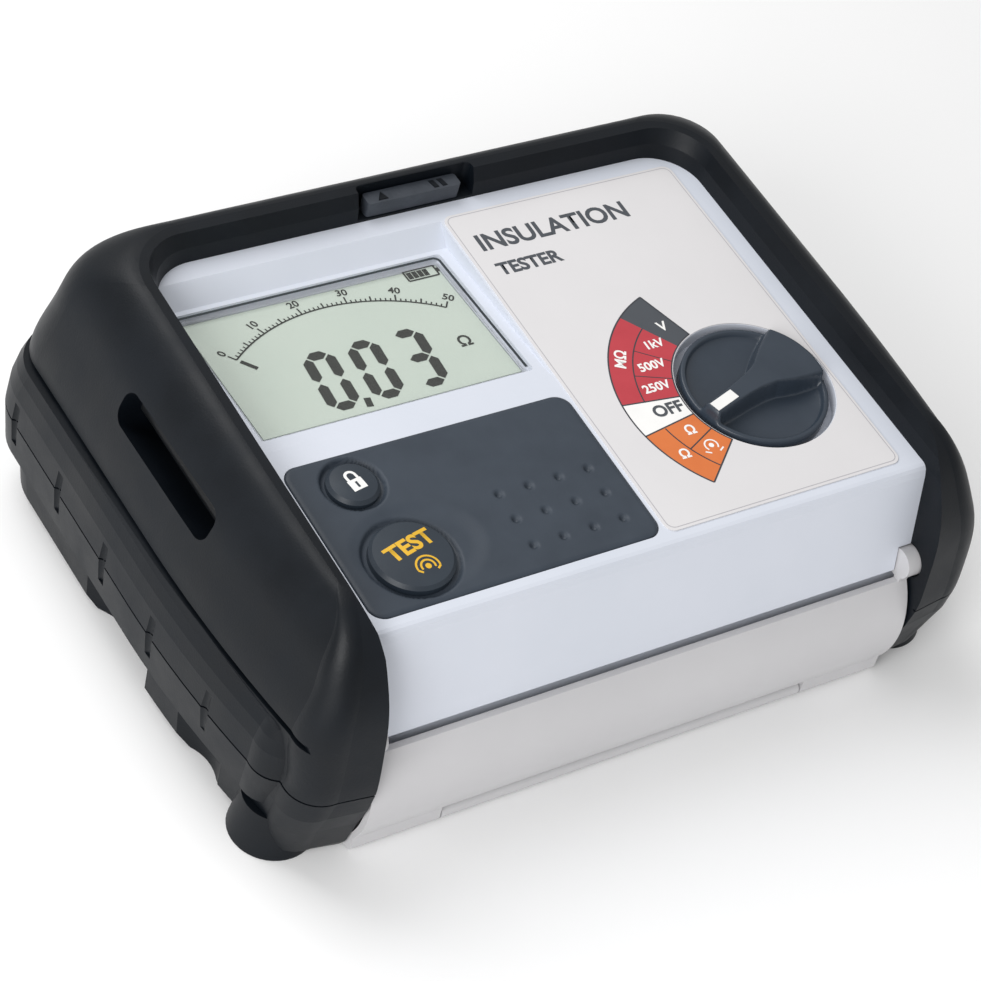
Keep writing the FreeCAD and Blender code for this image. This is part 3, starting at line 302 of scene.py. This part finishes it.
def ringBand(centre, inner, outer, start, end, steps=24):
    shapes = []
    for n in range(steps):
        a = math.radians(start + (end - start) * n / steps)
        b = math.radians(start + (end - start) * (n + 1) / steps)
        corners = [(inner, a), (outer, a), (outer, b), (inner, b)]
        shapes.append([(centre[0] + r * math.cos(t), centre[1] + r * math.sin(t)) for r, t in corners])
    return shapes


def bar(start, end, width):
    run = Vector(end) - Vector(start)
    side = Vector((-run.y, run.x)).normalized() * width / 2
    return [tuple(Vector(start) - side), tuple(Vector(end) - side), tuple(Vector(end) + side),
            tuple(Vector(start) + side)]


def tiles(left, low, right, high, count=5):
    wide, tall = (right - left) / count, (high - low) / count
    return [[(left + wide * i, low + tall * j), (left + wide * (i + 1), low + tall * j),
             (left + wide * (i + 1), low + tall * (j + 1)), (left + wide * i, low + tall * (j + 1))]
            for i in range(count) for j in range(count)]


def smoothStep(low, high, value):
    t = min(1.0, max(0.0, (value - low) / (high - low)))
    return t * t * (3 - 2 * t)


# ---- display ----
display = {"face": -1.62, "ink": blackInk, "digitFoot": 8.0, "digitHeight": 20.2, "digitWidth": 8.6, "lean": 2.0,
           "stroke": 2.7, "digits": ((-52.7, "abcdef"), (-40.7, "abcdef"), (-28.6, "abcdg")),
           "segmentGap": 0.35, "point": ((-42.4, 10.0), (-43.0, 7.0), 1.7), "scaleCentre": (-36.4, -5.4),
           "scaleRadius": 47.0, "scaleSpan": 37.5, "numberRadius": 50.8, "needle": (41.6, 46.0, 1.1),
           "ohm": (-9.8, 19.5), "battery": (-11.5, -3.0, 43.3, 46.9)}


def segmentShapes(left, letters):
    foot = display["digitFoot"]
    tall = display["digitHeight"]
    wide = display["digitWidth"]
    half = display["stroke"] / 2
    gap = display["segmentGap"]
    middle = foot + tall / 2
    lines = {
        "a": ((half, foot + tall - half), (wide - half, foot + tall - half)),
        "g": ((half, middle), (wide - half, middle)),
        "d": ((half, foot + half), (wide - half, foot + half)),
        "f": ((half, middle), (half, foot + tall - half)),
        "b": ((wide - half, middle), (wide - half, foot + tall - half)),
        "e": ((half, foot + half), (half, middle)),
        "c": ((wide - half, foot + half), (wide - half, middle)),
    }
    shapes = []
    for letter in letters:
        (x0, y0), (x1, y1) = lines[letter]
        flat = y0 == y1
        along = Vector((1, 0)) if flat else Vector((0, 1))
        across = Vector((0, 1)) if flat else Vector((1, 0))
        a = Vector((x0, y0)) + along * gap
        b = Vector((x1, y1)) - along * gap
        hexagon = [a, a + (along + across) * half, b + (across - along) * half, b,
                   b - (along + across) * half, a + (along - across) * half]
        shapes.append([(left + p.x + (p.y - foot) * display["lean"] / tall, p.y) for p in hexagon])
    return shapes


def makeDisplayInk():
    shapes = []
    for left, letters in display["digits"]:
        shapes += segmentShapes(left, letters)
    shapes.append(bar(*display["point"]))
    addPrint("displayDigits", shapes, display["face"], display["ink"], displayFrame)
    centre = display["scaleCentre"]
    radius = display["scaleRadius"]
    span = display["scaleSpan"]
    marks = ringBand(centre, radius - 0.22, radius + 0.22, 90 - span, 90 + span, 60)
    for unit in range(51):
        angle = math.radians(90 + span - unit * 1.5)
        length = 2.3 if unit % 10 == 0 else (1.7 if unit % 5 == 0 else 1.0)
        ray = Vector((math.cos(angle), math.sin(angle)))
        start = Vector(centre) + ray * radius
        marks.append(bar(start, start + ray * length, 0.42 if unit % 5 == 0 else 0.34))
        if unit % 10 == 0:
            spot = Vector(centre) + ray * display["numberRadius"]
            addWords("scaleNumber%d" % unit, str(unit), spot, 2.2, display["ink"], displayFrame,
                     math.degrees(angle) - 90, 0.07, display["face"])
    needle = math.radians(90 + span)
    ray = Vector((math.cos(needle), math.sin(needle)))
    near, far, wide = display["needle"]
    marks.append(bar(Vector(centre) + ray * near, Vector(centre) + ray * far, wide))
    addPrint("displayScale", marks, display["face"], display["ink"], displayFrame)
    addWords("displayOhm", "Ω", display["ohm"], 3.6, display["ink"], displayFrame, 0, 0.1, display["face"])
    left, right, low, high = display["battery"]
    cell = [bar((left, low), (right, low), 0.5), bar((left, high), (right, high), 0.5),
            bar((left, low), (left, high), 0.5), bar((right, low), (right, high), 0.5),
            bar((right + 0.5, low + 1.1), (right + 0.5, high - 1.1), 0.8)]
    blocks = [left + 1.1 + 1.5 * n for n in range(4)]
    cell += [bar((x, low + 0.6), (x, high - 0.6), 1.3) for x in blocks]
    addPrint("displayBattery", cell, display["face"], display["ink"], displayFrame)


makeDisplayInk()


window = {"left": -72.8, "right": -1.6, "front": 5.0, "back": 47.5, "corner": 1.5, "gap": 0.75}


# painted shadow: a dark strip, window["gap"] wide, along the window's rear and right edges and round the corner
# between them, standing in for the shade under the recess wall
def makeWindowEdge():
    corner, gap = window["corner"], window["gap"]
    middle = (window["right"] - corner, window["back"] - corner)
    shapes = [bar((window["left"], window["back"]), (middle[0], window["back"]), gap),
              bar((window["right"], window["front"]), (window["right"], middle[1]), gap)]
    shapes += ringBand(middle, corner - gap / 2, corner + gap / 2, 0, 90, 8)
    addPrint("windowShadowGap", shapes, 0.03, shadowGap, displayFrame)


makeWindowEdge()
print("display drawn")

# ---- selector printing ----
selector = {"inner": 20.8, "middle": 30.5, "outer": 36.6, "film": 0.32,
            "ranges": {"volts": (109.3, 125.0, greyInk), "insulation": (125.0, 173.0, redInk),
                       "off": (173.0, 189.3, whiteInk), "resistance": (189.3, 220.4, orangeInk)},
            "ends": (109.3, 220.4),
            # text, distance from the knob, angle round it, height, turn
            "words": (("V", 26.9, 116.7, 3.0, 0), ("1kV", 26.3, 132.0, 2.6, 0), ("500V", 25.8, 148.4, 2.6, 0),
                      ("250V", 25.7, 164.2, 2.6, 0), ("MΩ", 33.4, 148.0, 2.9, 58), ("Ω", 25.5, 197.6, 2.8, 0),
                      ("Ω", 32.9, 204.9, 2.8, 0))}


def knobPolar(radius, angle):
    turn = math.radians(angle)
    return knobPlace[0] + radius * math.cos(turn), knobPlace[1] + radius * math.sin(turn)


def makeSelectorPrinting():
    film, inner, middle, edge = (selector[key] for key in ("film", "inner", "middle", "outer"))
    for name, (start, end, ink) in selector["ranges"].items():
        addPrint("range_" + name, ringBand(knobPlace, inner, edge, start, end), film, ink, panelFrame)
    first, last = selector["ends"]
    lines = ringBand(knobPlace, edge - 0.2, edge + 0.2, first, last, 60)
    lines += ringBand(knobPlace, inner - 0.1, inner + 0.25, first, last, 60)
    for angle in (first, 173.0, 189.3, last):
        lines.append(bar(knobPolar(inner, angle), knobPolar(edge, angle), 0.4))
    addPrint("rangeOutline", lines, film + 0.02, outlineInk, panelFrame)
    arcs = list(range(125, 173)) + list(range(190, 220))
    dividers = [bar(knobPolar(middle, a), knobPolar(middle, a + 1), 0.35) for a in arcs]
    dividers.append(bar(knobPolar(inner, 205), knobPolar(middle, 205), 0.35))
    dividers += [bar(knobPolar(inner, a), knobPolar(middle, a), 0.25) for a in (141, 157)]
    addPrint("rangeDividers", dividers, film + 0.02, outlineInk, panelFrame)
    for number, (text, radius, angle, tall, turn) in enumerate(selector["words"]):
        addWords("rangeWord%d" % number, text, knobPolar(radius, angle), tall, whiteInk, panelFrame, turn, 0.1,
                 film + 0.05)
    addWords("rangeOff", "OFF", knobPolar(25.9, 180.4), 3.5, greyInk, panelFrame, 0, 0.16, film + 0.05)
    x, y = knobPolar(25.8, 211.5)
    buzz = ringBand((x, y), 1.5, 1.9, -40, 220, 14) + ringBand((x, y), 0.0, 0.7, 0, 360, 10)
    buzz += [bar((x - 2.6, y - 1.4), (x - 1.2, y - 2.2), 0.4), bar((x + 1.2, y - 2.2), (x + 2.6, y - 1.4), 0.4)]
    addPrint("rangeBuzzer", buzz, film + 0.05, whiteInk, panelFrame)


makeSelectorPrinting()

labelWords = {"title": ("INSULATION", (7.4, 100.4), 5.6), "kind": ("TESTER", (8.0, 91.0), 4.0)}
for name, (text, spot, tall) in labelWords.items():
    addWords("label_" + name, text, spot, tall, greyInk, panelFrame, 0, 0.2, 0.33, align="LEFT")


labelLine = {"box": (4.0, 71.0, 5.0, 110.9), "corner": 2.0, "width": 0.22}


def makeLabelLine():
    left, right, front, back = labelLine["box"]
    corner = labelLine["corner"]
    wide = labelLine["width"]
    shapes = [bar((left + corner, front), (right - corner, front), wide),
              bar((left + corner, back), (right - corner, back), wide),
              bar((left, front + corner), (left, back - corner), wide),
              bar((right, front + corner), (right, back - corner), wide)]
    for x, y, start in ((right - corner, back - corner, 0), (left + corner, back - corner, 90),
                        (left + corner, front + corner, 180), (right - corner, front + corner, 270)):
        shapes += ringBand((x, y), corner - wide / 2, corner + wide / 2, start, start + 90, 6)
    addPrint("labelOutline", shapes, 0.32, paleLine, panelFrame)


makeLabelLine()
print("label printed")

# ---- keypad mat ----
mat = {"left": -74.4, "right": 2.1, "front": 4.5, "back": 50.0, "corner": 4.0, "top": 0.4, "foot": -1.1,
       "columns": 170, "rows": 102,
       # each button: centre, radius and the gap round it
       "lock": (-60.1, 41.1, 6.3, 1.3), "test": (-57.7, 17.8, 10.0, 1.5), "grooveFloor": -1.05,
       # hollow round the test button: centre, half sizes and depth
       "dish": (-54.5, 20.0, 17.2, 13.4, 0.55),
       # dimples: columns, rows, radius and depth
       "dimples": ([-29.3, -21.2, -13.0, -4.9], [27.5, 19.7, 11.6], 1.35, 1.0)}


def matHeight(x, y):
    height = mat["top"]
    cx, cy, rx, ry, deep = mat["dish"]
    spread = ((x - cx) / rx) ** 2 + ((y - cy) / ry) ** 2
    height -= deep * (1 - smoothStep(0.45, 1.0, spread))
    across, along, radius, hollow = mat["dimples"]
    for dx in across:
        for dy in along:
            height -= hollow * (1 - smoothStep(0.25, 1.0, math.hypot(x - dx, y - dy) / radius))
    for bx, by, radius, gap in (mat["lock"], mat["test"]):
        away = math.hypot(x - bx, y - by) - radius
        height += (mat["grooveFloor"] - height) * (1 - smoothStep(gap - 0.35, gap + 0.25, away))
    return height


def makeKeypadMat():
    points = []
    corner = mat["corner"]
    for row in range(mat["rows"]):
        y = mat["front"] + (mat["back"] - mat["front"]) * row / (mat["rows"] - 1)
        near = max(0.0, corner - min(y - mat["front"], mat["back"] - y))
        inset = corner - math.sqrt(max(0.0, corner ** 2 - near ** 2))
        for column in range(mat["columns"]):
            x = mat["left"] + inset + (mat["right"] - mat["left"] - 2 * inset) * column / (mat["columns"] - 1)
            edge = min(x - mat["left"] - inset, mat["right"] - inset - x, y - mat["front"], mat["back"] - y)
            points.append((x, y, matHeight(x, y) - 0.3 * (1 - smoothStep(0.0, 0.9, edge))))
    wide = mat["columns"]
    faces = [(r * wide + c, r * wide + c + 1, (r + 1) * wide + c + 1, (r + 1) * wide + c)
             for r in range(mat["rows"] - 1) for c in range(wide - 1)]
    border = list(range(wide)) + [r * wide + wide - 1 for r in range(1, mat["rows"])]
    border += [(mat["rows"] - 1) * wide + c for c in range(wide - 2, -1, -1)]
    border += [r * wide for r in range(mat["rows"] - 2, 0, -1)]
    first = len(points)
    points += [(points[b][0], points[b][1], mat["foot"]) for b in border]
    count = len(border)
    faces += [(border[n], first + n, first + (n + 1) % count, border[(n + 1) % count]) for n in range(count)]
    addPiece("keypadMat", points, faces, keypadRubber, panelFrame, "case", True,
             ["keypad_mat"])


makeKeypadMat()


# ---- printing on the buttons ----
def crown(button, rise):
    cx, cy, radius = mat[button][:3]
    return lambda x, y: rise + 0.5 * (1 - (math.hypot(x - cx, y - cy) / (radius - 0.8)) ** 2) + 0.04


def makeButtonPrinting():
    top = crown("test", 1.4)
    addWords("testWord", "TEST", (-57.4, 19.9), 4.3, yellowInk, panelFrame, 13.5, 0.2, 0, "test_button",
             surface=top, narrow=1.02)
    x, y = -56.3, 13.4
    sign = ringBand((x, y), 0.0, 0.75, 0, 360, 14)
    sign += ringBand((x, y), 1.45, 1.95, -20, 200, 16) + ringBand((x, y), 2.6, 3.1, -8, 188, 20)
    sign += [bar((x - 2.9, y - 0.5), (x - 1.9, y - 1.3), 0.5), bar((x + 1.9, y - 1.3), (x + 2.9, y - 0.5), 0.5)]
    addPrint("testSign", sign, 0, yellowInk, panelFrame, "test_button", top)
    top = crown("lock", 1.0)
    turn = Matrix.Rotation(math.radians(10), 2)
    lockCentre = Vector((-59.8, 40.4))
    outline = tiles(-1.9, -1.9, 1.9, 1.2)
    outline += [bar((side * 1.25, 1.2), (side * 1.25, 2.3), 0.7) for side in (-1, 1)]
    outline += ringBand((0, 2.3), 0.9, 1.6, 0, 180, 12)
    shapes = [[tuple(lockCentre + turn @ Vector(p)) for p in shape] for shape in outline]
    addPrint("lockSign", shapes, 0, whiteInk, panelFrame, "lock_button", top)
    slit = ((-0.3, -1.3), (0.3, -1.3), (0.3, 0.4), (-0.3, 0.4))
    keyhole = [tuple(lockCentre + turn @ Vector(p)) for p in slit]
    addPrint("lockKeyhole", [keyhole], 0.03, buttonRubber, panelFrame, "lock_button", top)


makeButtonPrinting()
print("keypad done")

# ---- selector knob: a dished disc with a grip that widens away from its pointer ----
knob = {"radius": 18.6, "rings": 64, "spokes": 240, "foot": -3.75, "rim": 0.2, "dish": -2.4, "top": 3.05,
        "grip": ((-18.6, 2.55), (-12.0, 2.65), (-6.0, 2.9), (-3.0, 3.2), (0.0, 3.6), (3.3, 4.4), (5.0, 5.3),
                 (8.0, 6.7), (12.0, 8.2), (16.5, 9.6), (18.7, 10.2))}


def gripHalf(x):
    for (x0, w0), (x1, w1) in zip(knob["grip"], knob["grip"][1:]):
        if x <= x1:
            return w0 + (w1 - w0) * (x - x0) / (x1 - x0)
    return knob["grip"][-1][1]


def knobHeight(x, y):
    away = math.hypot(x, y)
    base = knob["dish"] + 1.3 * (away / 17.0) ** 4
    base += (knob["rim"] - base) * smoothStep(17.0, 17.5, away)
    half = gripHalf(x)
    inside = half - abs(y)
    top = knob["top"] + 0.12 * (1 - (y / half) ** 2)
    grip = smoothStep(-0.45, 0.75, inside) * (1 - smoothStep(17.6, 18.5, away))
    height = base + (top - base) * grip
    return height - 0.25 * smoothStep(18.3, 18.6, away)


def makeKnob():
    points = [(0, 0, knobHeight(0, 0))]
    rings, spokes = knob["rings"], knob["spokes"]
    for ring in range(1, rings + 1):
        radius = knob["radius"] * (ring / rings)
        for spoke in range(spokes):
            angle = 2 * math.pi * spoke / spokes
            x, y = radius * math.cos(angle), radius * math.sin(angle)
            points.append((x, y, knobHeight(x, y)))
    rim = 1 + (rings - 1) * spokes
    points += [(points[rim + n][0], points[rim + n][1], knob["foot"]) for n in range(spokes)]
    faces = [(0, 1 + n, 1 + (n + 1) % spokes) for n in range(spokes)]
    for ring in range(rings):
        low = 1 + ring * spokes
        faces += [(low + n, low + spokes + n, low + spokes + (n + 1) % spokes, low + (n + 1) % spokes)
                  for n in range(spokes)]
    faces.append([1 + rings * spokes + n for n in range(spokes)][::-1])
    addPiece("selectorKnob", points, faces, knobNylon, knobFrame, "selector", True,
             ["selector_knob"])


makeKnob()
print("knob done")

# ---- rear catch: two raised marks on its rough top ----
catch = {"top": 5.0, "rise": 0.25, "sunk": 0.02, "taper": 0.8,
         "marks": (((-12.5, 117.4), (-9.5, 117.4), (-10.6, 120.2)),
                   ((3.6, 117.4), (5.0, 117.4), (4.4, 120.2), (3.0, 120.2)),
                   ((6.0, 117.4), (7.4, 117.4), (6.8, 120.2), (5.4, 120.2)))}


def makeCatchMarks():
    points = []
    faces = []
    for outline in catch["marks"]:
        count = len(outline)
        base = len(points)
        middleX = sum(p[0] for p in outline) / count
        middleY = sum(p[1] for p in outline) / count
        taper = catch["taper"]
        top = catch["top"] + catch["rise"]
        points += [(x, y, catch["top"] - catch["sunk"]) for x, y in outline]
        points += [(middleX + (x - middleX) * taper, middleY + (y - middleY) * taper, top) for x, y in outline]
        faces.append([base + count + n for n in range(count)])
        faces += [(base + n, base + (n + 1) % count, base + count + (n + 1) % count, base + count + n)
                  for n in range(count)]
    addPiece("catchMarks", points, faces, armourRubber, panelFrame, "case")


makeCatchMarks()

# ---- stage: floor, lights, camera; lengths here are metres ----
stageSet = {"floor": "#FBFBFB", "floorShade": "#F9F9F9", "floorSize": 4.0, "floorLevel": -0.0002, "sky": 0.5,
            "aim": (0, 0, 0.04),
            # each softbox: name, watts, place and width
            "lights": (("softboxKey", 6.0, (-0.25, 0.55, 0.9), 0.7),
                       ("softboxFill", 8.0, (-0.9, -0.5, 0.6), 0.6))}


def makeStage():
    size = stageSet["floorSize"] / 2
    mesh = bpy.data.meshes.new("floor")
    corners = ((-size, -size), (size, -size), (size, size), (-size, size))
    mesh.from_pydata([(x, y, stageSet["floorLevel"]) for x, y in corners], [], [(0, 1, 2, 3)])
    floor = bpy.data.objects.new("floor", mesh)
    bpy.context.scene.collection.objects.link(floor)
    # matt card: soft shadows and no reflections
    mesh.materials.append(makeMoulded("matt white card", stageSet["floor"], stageSet["floorShade"], (0.8, 0.9),
                                      2.0, 0.001, 400, specular=0.1))
    floor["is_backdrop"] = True
    world = bpy.data.worlds.new("studio")
    world.use_nodes = True
    sky = world.node_tree.nodes["Background"]
    sky.inputs["Color"].default_value = (1, 1, 1, 1)
    sky.inputs["Strength"].default_value = stageSet["sky"]
    bpy.context.scene.world = world
    for name, power, spot, side in stageSet["lights"]:
        light = bpy.data.lights.new(name, "AREA")
        light.energy = power
        light.size = side
        lamp = bpy.data.objects.new(name, light)
        lamp.location = spot
        lamp.rotation_mode = "QUATERNION"
        lamp.rotation_quaternion = (Vector(stageSet["aim"]) - Vector(spot)).to_track_quat("-Z", "Y")
        bpy.context.scene.collection.objects.link(lamp)


makeStage()
print("stage set")

view = {"place": (-352.2, -390.0, 527.4), "ahead": (0.4825, 0.5363, -0.6925), "roll": 15.8, "lens": 108.1}


def makeCamera():
    data = bpy.data.cameras.new("camera")
    data.lens = view["lens"]
    data.sensor_width = 36.0
    data.clip_start = 0.01
    data.clip_end = 20.0
    camera = bpy.data.objects.new("camera", data)
    aim = Vector(view["ahead"]).to_track_quat("-Z", "Y").to_matrix()
    aim = aim @ Matrix.Rotation(math.radians(view["roll"]), 3, "Z")
    camera.matrix_world = Matrix.Translation(Vector(view["place"]) * mm) @ aim.to_4x4()
    bpy.context.scene.collection.objects.link(camera)
    bpy.context.scene.camera = camera


makeCamera()
bpy.context.scene.view_settings.view_transform = "Standard"

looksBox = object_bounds()
for name, box in (("cad", cadBox), ("looks", looksBox)):
    print(name, [tuple(round(c, 4) for c in corner) for corner in box])
